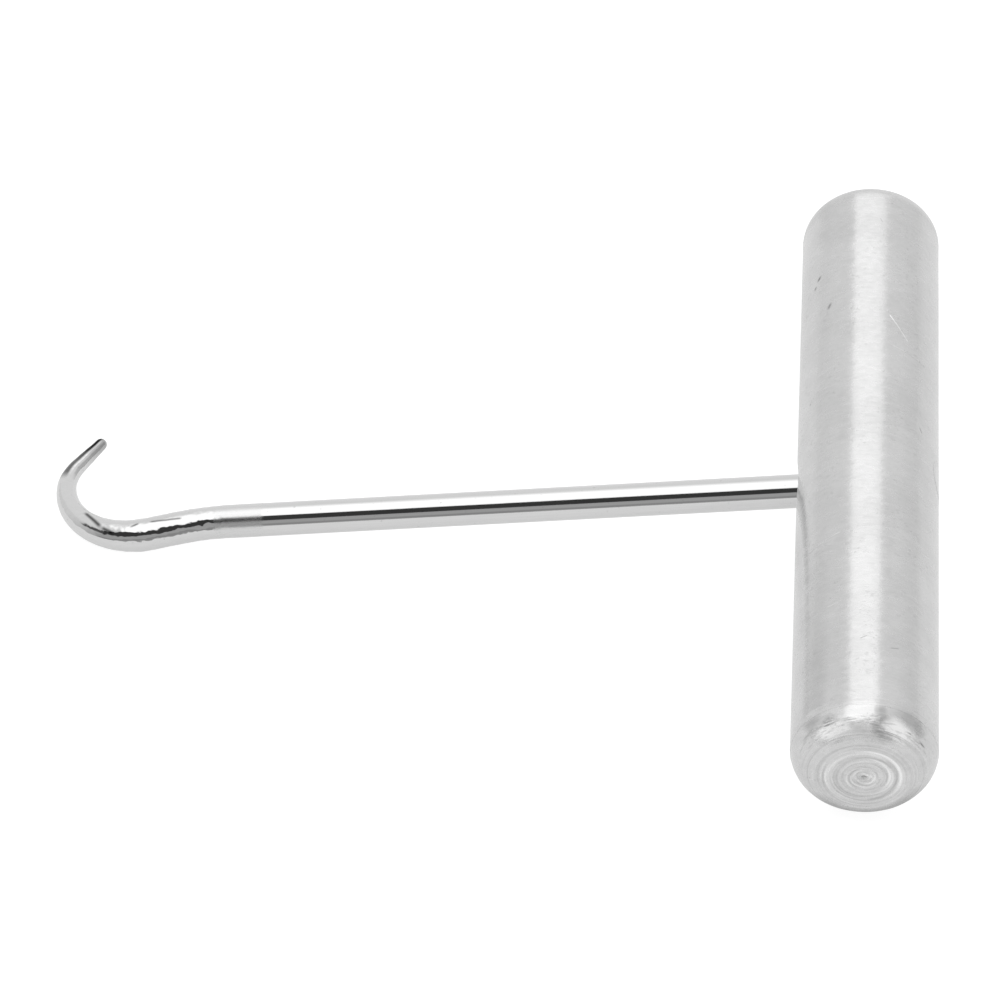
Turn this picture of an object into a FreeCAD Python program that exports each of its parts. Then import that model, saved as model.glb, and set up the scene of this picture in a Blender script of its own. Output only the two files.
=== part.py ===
"""T-handle pulling hook: a closed tubular handle with a tapered steel hook rod through its middle.

Frame, in millimetres: the origin is where the rod's axis crosses the handle's axis.
+Y runs along the handle, -X along the rod towards the hook, and +Z is square to the flat T
that the handle, the rod and the hook's bend all lie in. The handle is the same at both ends,
and the hook's open side faces +Y.
"""

import FreeCAD
import Part
import math
import os

# Handle: a length of stock tube closed by two turned end caps.
HANDLE_DIAMETER = 25.0
HANDLE_LENGTH = 137.0
TUBE_WALL = 1.2
END_RADIUS = 6.0            # the round between the handle's side and its flat end

# End caps: hollow cups with a spigot that locates them in the tube.
CAP_END_THICKNESS = 2.0
SPIGOT_LENGTH = 5.0
SPIGOT_WALL = 1.3
SPIGOT_LEAD = 0.4           # chamfer that starts the spigot into the tube
CAP_INNER_RADIUS = 3.0      # the round at the bottom of the cap's hollow
CENTRE_MARK_RADIUS = 0.55   # the pip the lathe leaves in the middle of the end
CENTRE_MARK_DEPTH = 0.35

# The seams between tube and caps are welded and ground flush.
SEAM_DEPTH = 0.8            # depth, and half width, of the groove the weld fills

# Hook rod: round bar, cranked, then bent back to the tip over two blended radii.
ROD_DIAMETER = 6.0
SHANK_LENGTH = 114.0        # from the handle's axis to where the rod leaves its straight line
CRANK_RADIUS = 50.0
CRANK_ANGLE = 12.4          # degrees, away from the hook's open side
CRANK_STRAIGHT = 3.9
BEND_RADIUS = 14.0
BEND_ANGLE = 96.2           # degrees
TIP_BEND_RADIUS = 9.0
TIP_BEND_ANGLE = 39.5       # degrees
TIP_STRAIGHT = 6.6
TAPER_LEAD = 2.2            # length of the bend that is still full size
TIP_RADIUS = 1.15
TAPER_SECTIONS = 28

# Joint between rod and handle.
HOLE_CLEARANCE = 0.05       # on the radius
DISH_RADIUS = 37.0          # the tube wall is dished inwards around the front hole
DISH_RIM = 6.5              # distance from the rod's axis to the dish's rim, along the handle
TAIL_GROOVE_DEPTH = 0.9     # groove around the rod's tail that the plug weld fills

OVERRUN = 1.0               # how far a cutting shape runs past the surface it cuts
NEARNESS = 0.001            # two places this close are the same place

HANDLE_R = HANDLE_DIAMETER / 2
BORE_R = HANDLE_R - TUBE_WALL
HALF_LENGTH = HANDLE_LENGTH / 2
SEAM_Y = HALF_LENGTH - END_RADIUS
ROD_R = ROD_DIAMETER / 2
HOLE_R = ROD_R + HOLE_CLEARANCE

ORIGIN = FreeCAD.Vector(0, 0, 0)
X_AXIS = FreeCAD.Vector(1, 0, 0)
Y_AXIS = FreeCAD.Vector(0, 1, 0)


def bar_along_handle(radius, start_y, end_y):
    """Solid cylinder on the handle's axis."""
    return Part.makeCylinder(radius, end_y - start_y, FreeCAD.Vector(0, start_y, 0), Y_AXIS)


def bar_along_rod(radius, start_x, end_x):
    """Solid cylinder on the rod's axis."""
    return Part.makeCylinder(radius, end_x - start_x, FreeCAD.Vector(start_x, 0, 0), X_AXIS)


def rounded_at(bar, y, round_radius):
    """The bar with the edge of its end at y rounded over."""
    edges = [
        edge for edge in bar.Edges
        if isinstance(edge.Curve, Part.Circle) and abs(edge.Curve.Center.y - y) < NEARNESS
    ]
    return bar.makeFillet(round_radius, edges)


def handle_envelope():
    """The whole outer shape of the handle, as one solid."""
    bar = bar_along_handle(HANDLE_R, -HALF_LENGTH, HALF_LENGTH)
    bar = rounded_at(bar, HALF_LENGTH, END_RADIUS)
    return rounded_at(bar, -HALF_LENGTH, END_RADIUS)


def seam_groove():
    """Ring of triangular section that the +Y seam weld fills, a little proud of the handle."""
    outer_radius = HANDLE_R + OVERRUN
    half_width = SEAM_DEPTH + OVERRUN
    root = FreeCAD.Vector(HANDLE_R - SEAM_DEPTH, SEAM_Y, 0)
    cap_side = FreeCAD.Vector(outer_radius, SEAM_Y + half_width, 0)
    tube_side = FreeCAD.Vector(outer_radius, SEAM_Y - half_width, 0)
    triangle = Part.makePolygon([root, cap_side, tube_side, root])
    return Part.Face(triangle).revolve(ORIGIN, Y_AXIS, 360)


def dish_ball(wall_offset):
    """Ball outside the tube whose surface is the dish, or the dish's inner face."""
    depth = DISH_RIM ** 2 / (2 * DISH_RADIUS)
    centre = FreeCAD.Vector(-(HANDLE_R - depth + DISH_RADIUS), 0, 0)
    return Part.makeSphere(DISH_RADIUS + wall_offset, centre)


def tail_groove():
    """Cone that opens the rear hole outwards for the plug weld."""
    height = TAIL_GROOVE_DEPTH + OVERRUN
    start = FreeCAD.Vector(HANDLE_R - TAIL_GROOVE_DEPTH, 0, 0)
    return Part.makeCone(HOLE_R, HOLE_R + height, height, start, X_AXIS)


def handle_tube():
    """Tube with a dished front hole for the rod and a countersunk rear hole for its tail."""
    outside = bar_along_handle(HANDLE_R, -SEAM_Y, SEAM_Y).cut(dish_ball(0))
    cavity = bar_along_handle(BORE_R, -SEAM_Y, SEAM_Y).cut(dish_ball(TUBE_WALL))
    rod_hole = bar_along_rod(HOLE_R, -HANDLE_R - OVERRUN, HANDLE_R + OVERRUN)
    groove = seam_groove()
    return outside.cut([cavity, rod_hole, tail_groove(), groove, groove.mirror(ORIGIN, Y_AXIS)])


def end_cap(envelope):
    """Hollow turned cap for the +Y end, with its spigot inside the tube."""
    dome = envelope.common(bar_along_handle(HANDLE_R + OVERRUN, SEAM_Y, HALF_LENGTH + OVERRUN))
    spigot_end = SEAM_Y - SPIGOT_LENGTH
    spigot = bar_along_handle(BORE_R, spigot_end, SEAM_Y)
    lead_edges = [e for e in spigot.Edges if abs(e.CenterOfMass.y - spigot_end) < NEARNESS]
    spigot = spigot.makeChamfer(SPIGOT_LEAD, lead_edges)
    hollow_end = HALF_LENGTH - CAP_END_THICKNESS
    hollow = bar_along_handle(BORE_R - SPIGOT_WALL, spigot_end - OVERRUN, hollow_end)
    hollow = rounded_at(hollow, hollow_end, CAP_INNER_RADIUS)
    mark_start = FreeCAD.Vector(0, HALF_LENGTH - CENTRE_MARK_DEPTH, 0)
    centre_mark = Part.makeCone(0, CENTRE_MARK_RADIUS, CENTRE_MARK_DEPTH, mark_start, Y_AXIS)
    return dome.fuse(spigot).removeSplitter().cut([hollow, centre_mark, seam_groove()])


def seam_weld(envelope):
    """Weld metal in the +Y seam groove, flush with the handle."""
    return seam_groove().common(envelope)


def rod_path():
    """The rod's segments from tail to tip: ("line", length) or ("arc", radius, turn in degrees).

    A positive turn is anticlockwise seen from +Z. The first list is full size, the second tapers.
    """
    lead_turn = math.degrees(TAPER_LEAD / BEND_RADIUS)
    full_size = [
        ("line", HANDLE_R + SHANK_LENGTH),
        ("arc", CRANK_RADIUS, CRANK_ANGLE),
        ("line", CRANK_STRAIGHT),
        ("arc", BEND_RADIUS, -lead_turn),
    ]
    tapered = [
        ("arc", BEND_RADIUS, lead_turn - BEND_ANGLE),
        ("arc", TIP_BEND_RADIUS, -TIP_BEND_ANGLE),
        ("line", TIP_STRAIGHT),
    ]
    return full_size, tapered


def segment_length(segment):
    """Length along one path segment."""
    if segment[0] == "line":
        return segment[1]
    return segment[1] * abs(math.radians(segment[2]))


def unit(heading):
    """Unit vector for a heading, which is an angle from +X in radians."""
    return FreeCAD.Vector(math.cos(heading), math.sin(heading), 0)


def along(segment, point, heading, distance):
    """Point and heading after a distance along one path segment."""
    if segment[0] == "line":
        return point + unit(heading) * distance, heading
    radius = segment[1]
    side = math.copysign(1, segment[2])
    quarter_turn = math.pi / 2
    centre = point + unit(heading + quarter_turn) * (side * radius)
    new_heading = heading + side * distance / radius
    return centre - unit(new_heading + quarter_turn) * (side * radius), new_heading


def segment_edge(segment, point, heading):
    """Edge for one path segment, and the point and heading at its end."""
    length = segment_length(segment)
    end, end_heading = along(segment, point, heading, length)
    if segment[0] == "line":
        return Part.makeLine(point, end), end, end_heading
    middle, _ = along(segment, point, heading, length / 2)
    return Part.Arc(point, middle, end).toShape(), end, end_heading


def round_section(point, heading, radius):
    """Round outline of the rod, square to its path."""
    return Part.Wire(Part.makeCircle(radius, point, unit(heading)))


def full_size_run(segments, point, heading):
    """Round bar along the full-size segments, and the point and heading at its end."""
    start = round_section(point, heading, ROD_R)
    edges = []
    for segment in segments:
        edge, point, heading = segment_edge(segment, point, heading)
        edges.append(edge)
    return Part.Wire(edges).makePipeShell([start], True, False), point, heading


def tapered_run(segments, point, heading):
    """Bar that tapers evenly along the segments, and the point at its end."""
    total = sum(segment_length(segment) for segment in segments)
    sections = [round_section(point, heading, ROD_R)]
    done = 0.0
    for segment in segments:
        length = segment_length(segment)
        steps = max(2, round(TAPER_SECTIONS * length / total))
        for step in range(1, steps + 1):
            distance = length * step / steps
            place, turned = along(segment, point, heading, distance)
            radius = ROD_R + (TIP_RADIUS - ROD_R) * (done + distance) / total
            sections.append(round_section(place, turned, radius))
        point, heading = along(segment, point, heading, length)
        done += length
    return Part.makeLoft(sections, True, False), point


def hook_rod(envelope):
    """The rod: tail trimmed to the handle's curve, shank, crank, tapered hook and round tip."""
    full_size, tapered = rod_path()
    shank, point, heading = full_size_run(full_size, FreeCAD.Vector(HANDLE_R, 0, 0), math.pi)
    hook, tip = tapered_run(tapered, point, heading)
    rod = shank.fuse([hook, Part.makeSphere(TIP_RADIUS, tip)]).removeSplitter()
    tail_corners = bar_along_rod(ROD_R + OVERRUN, 0, HANDLE_R + OVERRUN).cut(envelope)
    return rod.cut(tail_corners)


def tail_plug_weld(envelope):
    """Weld metal that fills the groove and the gap around the rod's tail, ground flush."""
    gap = bar_along_rod(HOLE_R, 0, HANDLE_R + OVERRUN)
    bore = bar_along_handle(BORE_R, -SEAM_Y, SEAM_Y)
    rod = bar_along_rod(ROD_R, 0, HANDLE_R + OVERRUN)
    return gap.fuse(tail_groove()).cut([bore, rod]).common(envelope)


def export(name, shape):
    """Writes one node, after checking that it is one sound closed solid."""
    if len(shape.Solids) != 1 or not shape.isValid() or not shape.Solids[0].isClosed():
        raise ValueError("node " + name + " is not one sound solid")
    shape.Solids[0].exportStep("parts/" + name + ".step")


def main():
    os.makedirs("parts", exist_ok=True)
    envelope = handle_envelope()
    cap = end_cap(envelope)
    weld = seam_weld(envelope)
    export("handle_tube", handle_tube())
    export("far_end_cap", cap)
    export("near_end_cap", cap.mirror(ORIGIN, Y_AXIS))
    export("far_seam_weld", weld)
    export("near_seam_weld", weld.mirror(ORIGIN, Y_AXIS))
    export("hook_rod", hook_rod(envelope))
    export("tail_plug_weld", tail_plug_weld(envelope))


main()
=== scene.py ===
"""Looks of the T-handle hook: high-detail meshes, brushed and polished steel, and a white studio.

Everything is in metres in the part's own frame: the handle lies along Y, the rod along -X, and
Z is square to the flat T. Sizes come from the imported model; the shape of the hook's path repeats
the part's driving dimensions.
"""

import math

import bmesh
import bpy
import numpy as np
from mathutils import Matrix, Vector, noise


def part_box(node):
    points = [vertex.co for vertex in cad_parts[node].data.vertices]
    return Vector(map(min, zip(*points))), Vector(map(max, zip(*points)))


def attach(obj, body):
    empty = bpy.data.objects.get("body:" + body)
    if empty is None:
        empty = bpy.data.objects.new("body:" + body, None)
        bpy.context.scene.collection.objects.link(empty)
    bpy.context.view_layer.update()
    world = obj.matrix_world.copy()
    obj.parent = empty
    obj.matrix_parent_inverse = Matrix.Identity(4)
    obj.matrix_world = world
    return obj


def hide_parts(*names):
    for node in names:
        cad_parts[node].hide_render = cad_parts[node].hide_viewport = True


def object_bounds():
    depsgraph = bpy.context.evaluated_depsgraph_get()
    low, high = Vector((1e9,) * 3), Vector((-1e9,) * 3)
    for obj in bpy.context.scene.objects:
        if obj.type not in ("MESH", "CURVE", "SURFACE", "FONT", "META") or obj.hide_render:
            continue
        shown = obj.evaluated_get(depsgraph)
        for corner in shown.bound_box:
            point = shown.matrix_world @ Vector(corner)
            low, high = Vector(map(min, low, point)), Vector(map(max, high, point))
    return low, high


MM = 0.001
BODY = "root"

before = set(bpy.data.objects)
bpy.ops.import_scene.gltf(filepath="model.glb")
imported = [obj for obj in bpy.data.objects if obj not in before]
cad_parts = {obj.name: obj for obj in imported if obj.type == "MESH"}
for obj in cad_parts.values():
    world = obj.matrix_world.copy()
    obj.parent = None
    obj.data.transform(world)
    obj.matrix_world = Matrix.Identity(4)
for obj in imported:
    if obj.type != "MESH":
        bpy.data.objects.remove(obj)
cad_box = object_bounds()

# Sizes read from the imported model
# --------------------------------

TUBE_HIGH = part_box("handle_tube")[1]
CAP_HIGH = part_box("far_end_cap")[1]
SEAM_LOW, SEAM_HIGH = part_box("far_seam_weld")
PLUG_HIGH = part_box("tail_plug_weld")[1]
ROD_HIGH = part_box("hook_rod")[1]

HANDLE_R = TUBE_HIGH.z
HALF_LENGTH = CAP_HIGH.y
SEAM_Y = TUBE_HIGH.y
END_RADIUS = HALF_LENGTH - SEAM_Y
SEAM_HALF = (SEAM_HIGH.y - SEAM_LOW.y) / 2
ROD_R = ROD_HIGH.z
PLUG_R = PLUG_HIGH.y

# Driving dimensions of the shapes that the boxes don't give
# ----------------------------------------------------------

TUBE_WALL = 1.2 * MM
SPIGOT_LENGTH = 5.0 * MM
CAP_BORE_R = 10.0 * MM
CAP_END_THICKNESS = 2.0 * MM
CENTRE_MARK_R = 0.55 * MM
CENTRE_MARK_DEPTH = 0.30 * MM

ROD_CLEARANCE = 0.05 * MM
HOLE_R = ROD_R + ROD_CLEARANCE
DISH_RADIUS = 37.0 * MM
DISH_RIM = 6.5 * MM
DISH_SOFTNESS = 0.02 * MM     # how gently the dish's rim runs out into the tube
PLUG_DEPTH = 0.9 * MM

SHANK_LENGTH = 114.0 * MM
CRANK_RADIUS = 50.0 * MM
CRANK_ANGLE = math.radians(12.4)
CRANK_STRAIGHT = 3.9 * MM
BEND_RADIUS = 14.0 * MM
BEND_ANGLE = math.radians(96.2)
TIP_BEND_RADIUS = 9.0 * MM
TIP_BEND_ANGLE = math.radians(39.5)
TIP_STRAIGHT = 6.6 * MM
TAPER_LEAD = 2.2 * MM
TIP_R = 1.15 * MM


# Mesh helpers
# ------------

SHARP_ANGLE = math.radians(32)
OCTAVE_STEP = 2.0             # how much finer each octave of noise is than the one before


def make_piece(name, points, faces, material, slot, *replaced, wear_and_shade=None):
    """A closed, smooth-shaded mesh that rides on the body and stands for the replaced CAD nodes.

    wear_and_shade is a value for each point, which the material reads: above 0 brighter, below 0 darker.
    It holds real wear and, on the handle and the caps, painted shade.
    """
    mesh = bpy.data.meshes.new(name)
    mesh.from_pydata([tuple(p) for p in points], [], faces)
    if wear_and_shade is not None:
        mesh.attributes.new("wear_and_shade", "FLOAT", "POINT").data.foreach_set("value", wear_and_shade)
    shell = bmesh.new()
    shell.from_mesh(mesh)
    loose = [point for point in shell.verts if not point.link_faces]
    bmesh.ops.delete(shell, geom=loose, context="VERTS")
    bmesh.ops.recalc_face_normals(shell, faces=shell.faces)
    shell.to_mesh(mesh)
    shell.free()
    mesh.shade_smooth()
    mesh.set_sharp_from_angle(angle=SHARP_ANGLE)
    mesh.materials.append(material)
    piece = bpy.data.objects.new(name, mesh)
    bpy.context.scene.collection.objects.link(piece)
    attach(piece, BODY)
    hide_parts(*replaced)
    return piece


def grid_faces(rows, columns, wrap_rows=False):
    """Quads over points numbered ring by ring, which join each ring to the next."""
    faces = []
    for i in range(rows if wrap_rows else rows - 1):
        for j in range(columns):
            below = i * columns
            above = (i + 1) % rows * columns
            k = (j + 1) % columns
            faces.append((below + j, below + k, above + k, above + j))
    return faces


def closed_faces(rows, columns):
    """The same, and triangles that join the first and last ring to the two points after them."""
    faces = grid_faces(rows, columns)
    pole = rows * columns
    last = pole - columns
    for j in range(columns):
        k = (j + 1) % columns
        faces.append((pole, j, k))
        faces.append((pole + 1, last + j, last + k))
    return faces


def bumps(x, y, z, size, octaves=2, fading=1.0):
    """Smooth noise from about -1 to 1 whose bumps are about size across, with finer ones on them."""
    return noise.fractal(Vector((x, y, z)) / size, fading, OCTAVE_STEP, octaves)


def smooth_step(value, low, high):
    """0 below low, 1 above high, and a smooth run between them."""
    t = min(max((value - low) / (high - low), 0.0), 1.0)
    return t * t * (3 - 2 * t)


# Handle tube: one closed wall, dished round the rod's hole and open round the rod's tail
# ---------------------------------------------------------------------------------------

PATCH_HALF = 9.0 * MM         # half the side of the square patch of mesh round each hole
PATCH_CELLS = 36
BETWEEN_CELLS = 42
LENGTH_CELLS = 105
FINEST_RING = 0.05 * MM       # spacing of the mesh beside the dish's rim
WIDEST_RING = 8.3 * MM
RINGS_OUTSIDE = 9
RINGS_INSIDE = 13
WAVE_SIZE = 7.0 * MM
WAVE_STRETCH = 3.0            # how much longer than wide the waves are
WAVE_DEPTH = 0.012 * MM       # how far hand polishing leaves the tube out of round
WAVE_FADE = 3.0 * MM          # the waves die away over this length before the seams
DISH_WEAR = -0.6              # the milled dish is duller than the tube
DISH_WEAR_EDGE = 0.05 * MM    # depth at which the dish's look is reached in full
BAND_SHADE = -0.50             # painted shade: a band along the near half is darkened
BAND_SHADE_MIDDLE = math.radians(128)
BAND_SHADE_HALF = math.radians(16)
BAND_SHADE_CORE = BAND_SHADE_HALF / 3     # half of the width over which it is full
BAND_SHADE_START = 18.0 * MM        # distance from the rod where the painted shade starts, and is full
BAND_SHADE_FULL = 66.0 * MM


def dish_reach(angle, y):
    """Radius at which the dish's ball is met, or one outside the tube where it isn't."""
    depth = DISH_RIM ** 2 / (2 * DISH_RADIUS)
    centre = -(HANDLE_R - depth + DISH_RADIUS)
    across = centre * math.cos(angle)
    root = across ** 2 - centre ** 2 + DISH_RADIUS ** 2 - y ** 2
    if across <= 0 or root <= 0:
        return HANDLE_R + MM
    return across - math.sqrt(root)


def tube_radius(angle, y):
    """Outer radius of the tube, with its dish and its slight polishing waves."""
    gap = HANDLE_R - dish_reach(angle, y)
    dish = (gap + math.hypot(gap, DISH_SOFTNESS)) / 2
    x = HANDLE_R * math.cos(angle)
    z = HANDLE_R * math.sin(angle)
    wave = WAVE_DEPTH * (bumps(x, y / WAVE_STRETCH, z, WAVE_SIZE) - 1)
    fade = 1 - smooth_step(abs(y), SEAM_Y - WAVE_FADE, SEAM_Y - SEAM_HALF)
    return HANDLE_R - dish + wave * fade


def patch_perimeter():
    """Corners of the cells round a patch, counted from its lowest corner, as (row, column)."""
    steps = range(PATCH_CELLS)
    low = [(0, j) for j in steps] + [(i, PATCH_CELLS) for i in steps]
    return low + [(PATCH_CELLS - row, PATCH_CELLS - column) for row, column in low]


def girth_stops():
    """Places round the tube, as angles from +X, with the patch edges among them."""
    patch = np.linspace(-PATCH_HALF, PATCH_HALF, PATCH_CELLS + 1)[:-1]
    half_girth = math.pi * HANDLE_R
    between = np.linspace(PATCH_HALF, half_girth - PATCH_HALF, BETWEEN_CELLS + 1)[:-1]
    stops = np.concatenate([patch, between, half_girth + patch, half_girth + between])
    return stops / HANDLE_R


def length_stops():
    """Places along the tube, with the patch edges among them."""
    end = SEAM_Y - SEAM_HALF
    outside = np.linspace(-end, -PATCH_HALF, LENGTH_CELLS + 1)[:-1]
    patch = np.linspace(-PATCH_HALF, PATCH_HALF, PATCH_CELLS + 1)
    return np.concatenate([outside, patch, -outside[::-1]])


def ring_radii(hole_r):
    """Radii of the rings of mesh round a hole, closest together at the dish's rim."""
    outside = DISH_RIM + np.geomspace(FINEST_RING, WIDEST_RING - DISH_RIM, RINGS_OUTSIDE)[::-1]
    inside = DISH_RIM - np.geomspace(FINEST_RING, DISH_RIM - hole_r, RINGS_INSIDE)
    return np.concatenate([outside, inside])


def patch_border(first_column, columns):
    """Numbers of the sheet's points round one patch, in the order of patch_perimeter."""
    return [
        (LENGTH_CELLS + row) * columns + (first_column + column) % columns
        for row, column in patch_perimeter()
    ]


def add_hole(points, faces, border, middle, hole_r):
    """Rings of mesh from a patch's square border in to a round hole; returns the hole's loop."""
    inner_r = HANDLE_R - TUBE_WALL
    middle_cell = PATCH_CELLS / 2
    turns = [math.atan2(row - middle_cell, column - middle_cell) for row, column in patch_perimeter()]
    previous = border
    for radius in ring_radii(hole_r):
        start = len(points)
        for turn in turns:
            across = radius * math.cos(turn)
            outer = math.asin(across / HANDLE_R)
            inner = math.asin(across / inner_r)
            points.append((middle + outer, middle + inner, radius * math.sin(turn)))
        current = list(range(start, len(points)))
        faces += ring_faces(previous, current)
        previous = current
    return previous


def ring_faces(outer, inner):
    """Quads between two loops of the same count."""
    count = len(outer)
    return [(outer[j], outer[(j + 1) % count], inner[(j + 1) % count], inner[j]) for j in range(count)]


def wall_sheet():
    """The tube's wall as a sheet of (angle, inner angle, y) points, its faces and its open loops."""
    angles = girth_stops()
    lengths = length_stops()
    columns = len(angles)
    rows = len(lengths)
    points = [(a, a, y) for y in lengths for a in angles]
    holes = ((0, 0.0, PLUG_R), (PATCH_CELLS + BETWEEN_CELLS, math.pi, HOLE_R))
    patch_rows = range(LENGTH_CELLS, LENGTH_CELLS + PATCH_CELLS)
    covered = {(row, first + j) for first, _, _ in holes for row in patch_rows for j in range(PATCH_CELLS)}
    quads = enumerate(grid_faces(rows, columns))
    faces = [quad for number, quad in quads if divmod(number, columns) not in covered]
    loops = [list(range(columns)), list(range((rows - 1) * columns, rows * columns))]
    for first, middle, hole_r in holes:
        loops.append(add_hole(points, faces, patch_border(first, columns), middle, hole_r))
    return points, faces, loops


def tube_wear_and_shade(angle, y):
    """Wear and painted shade of the tube: the dish is duller, and a band along the near half is darkened
    with painted shade.
    """
    dish = smooth_step(HANDLE_R - dish_reach(angle, y), 0, DISH_WEAR_EDGE)
    # painted shade: a darker band along the near half of the tube
    off_band = smooth_step(abs(angle - BAND_SHADE_MIDDLE), BAND_SHADE_CORE, BAND_SHADE_HALF)
    band_shade = smooth_step(-y, BAND_SHADE_START, BAND_SHADE_FULL) * (1 - off_band)
    return DISH_WEAR * dish + BAND_SHADE * band_shade


def around_handle(radius, angle, y):
    """Point at a radius and an angle from +X, towards +Z."""
    return (radius * math.cos(angle), y, radius * math.sin(angle))


def build_handle(material):
    """The tube: an outer and an inner skin, joined round both ends and both holes."""
    sheet, faces, loops = wall_sheet()
    count = len(sheet)
    outer = []
    inner = []
    for angle, inner_angle, y in sheet:
        radius = tube_radius(angle, y)
        outer.append(around_handle(radius, angle, y))
        inner.append(around_handle(radius - TUBE_WALL, inner_angle, y))
    wear_and_shade = [tube_wear_and_shade(angle, y) for angle, _, y in sheet]
    closed = faces + [tuple(count + i for i in face) for face in faces]
    for loop in loops:
        closed += ring_faces(loop, [count + i for i in loop])
    return make_piece("handle_body", outer + inner, closed, material, "brushed_handle", "handle_tube",
                      wear_and_shade=wear_and_shade + wear_and_shade)


# End caps and seam welds: turned shapes
# --------------------------------------

TURN_STEPS = 256
CAP_STEP = 0.09 * MM          # spacing of the mesh along the cap's outline
CORNER_RADIUS = 3.0 * MM      # inside the cap
SHOULDER_WAVE = 0.030 * MM    # flats that hand grinding leaves on the cap's round
SHOULDER_WAVE_SIZE = 3.2 * MM
SHOULDER_START = 5.0 * MM     # radius where the flats start, and how far out they take to be full
SHOULDER_RUN = 4.0 * MM
SHOULDER_FADE = 2.0 * MM      # the flats die away over this length before the seam
SEED_SHIFT = 10.0 * MM        # moves the noise of one cap away from another's
CENTRE_DARKENING = -1.2            # darker in and round the centre mark
CENTRE_DARKENING_REACH = 1.4       # in radii of the mark
# The widest rings on a cap's end, in millimetres: radius, half width, height (below 0, a groove)
MAIN_RINGS = (
    (0.9, 0.15, 0.024),
    (1.3, 0.12, -0.024),
    (1.8, 0.16, 0.026),
    (2.2, 0.12, -0.020),
    (2.6, 0.13, 0.018),
    (3.7, 0.14, -0.012),
    (4.3, 0.20, 0.030),
    (4.8, 0.16, -0.022),
    (5.6, 0.16, -0.014),
    (6.2, 0.24, 0.028),
    (6.8, 0.18, -0.018),
)
ARCS_PER_RING = 4
RING_STRAY = 0.15             # millimetres that an arc's radius strays from its ring's
RING_SWEEP = (0.7, 1.9)
# The fine marks between them, in millimetres and radians
MARK_COUNT = 110
MARK_REACH = (0.5, 12.0)
MARK_HALF_WIDTH = (0.08, 0.18)
MARK_HEIGHT = (0.008, 0.022)
MARK_SWEEP = (0.3, 1.5)
CENTRE_STRAY = 0.20           # millimetres that an arc's or a mark's middle strays from the axis
RING_WEAR = 30.0              # how much brighter a ring is for each millimetre it stands proud
# Reach is the distance from the middle of a cap's end, over the end and round its edge.
# Painted shade: the underside of each cap's round is darkened.
UNDERSIDE_PAINTED_SHADE_START = 8.0 * MM        # reach of the painted shade on the underside of the round
UNDERSIDE_PAINTED_SHADE_FULL = 9.8 * MM
UNDERSIDE_PAINTED_SHADE_SPREAD = (0.35, 0.80)   # sines of the angles below level where it ends and is full
UNDERSIDE_PAINTED_SHADE = -2.0
# Dark reflections painted on a cap's round, in millimetres and radians: reach, angle, sweep, half width,
# darkening
PAINTED_DARK_REFLECTIONS = (
    (17.3, 2.27, 0.20, 1.5, -1.1),
    (17.2, 1.26, 0.10, 1.4, -1.2),
    (12.2, 1.25, 0.11, 0.9, -0.5),
    (15.8, 0.60, 0.15, 1.4, -0.5),
)
# Dark pits where a cap's weld wasn't ground out, in millimetres and radians
PIT_COUNT = 64
PIT_WEAR = -1.0
PIT_HALF_WIDTH = 0.13
PIT_DEPTH = 0.02 * MM
PIT_REACH = (12.2, 15.4)
PIT_CLUSTERS = (0.5, 0.8, 1.4, 1.9, 2.3, 2.6)
PIT_STRAY = 0.16              # how far a pit's angle strays from its cluster's
PIT_SWEEP = (0.02, 0.11)


def turned_solid(name, outline, relief, material, slot, node):
    """Closed solid turned about the handle's axis from an outline of (radius, y) points.

    relief(radius, y, angle) takes arrays and returns how far each point stands proud, and its
    wear and painted shade. An outline that starts on the axis also ends on it.
    """
    outline = np.array(outline)
    on_axis = outline[0][0] == 0
    after = np.roll(outline, -1, axis=0)
    before = np.roll(outline, 1, axis=0)
    signed_area = np.sum(outline[:, 0] * after[:, 1] - after[:, 0] * outline[:, 1])
    if on_axis:
        after[-1] = outline[-1]
        before[0] = outline[0]
    outward = (after - before)[:, ::-1] * (1, -1) * np.sign(signed_area)
    outward /= np.linalg.norm(outward, axis=1)[:, None]
    angle = np.arange(TURN_STEPS) * 2 * math.pi / TURN_STEPS
    rise, wear_and_shade = relief(outline[:, :1], outline[:, 1:], angle[None, :])
    radius = np.maximum(outline[:, :1] + rise * outward[:, :1], 0)
    y = outline[:, 1:] + rise * outward[:, 1:]
    points = np.stack([radius * np.cos(angle), y, radius * np.sin(angle)], axis=-1)
    if not on_axis:
        faces = grid_faces(len(outline), TURN_STEPS, wrap_rows=True)
        return make_piece(name, points.reshape(-1, 3), faces, material, slot, node, wear_and_shade=wear_and_shade.ravel())
    rings = points[1:-1].reshape(-1, 3)
    poles = [points[0, 0], points[-1, 0]]
    faces = closed_faces(len(outline) - 2, TURN_STEPS)
    wear_and_shade = np.concatenate([wear_and_shade[1:-1].ravel(), wear_and_shade[0, :1], wear_and_shade[-1, :1]])
    return make_piece(name, [*rings, *poles], faces, material, slot, node, wear_and_shade=wear_and_shade)


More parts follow.
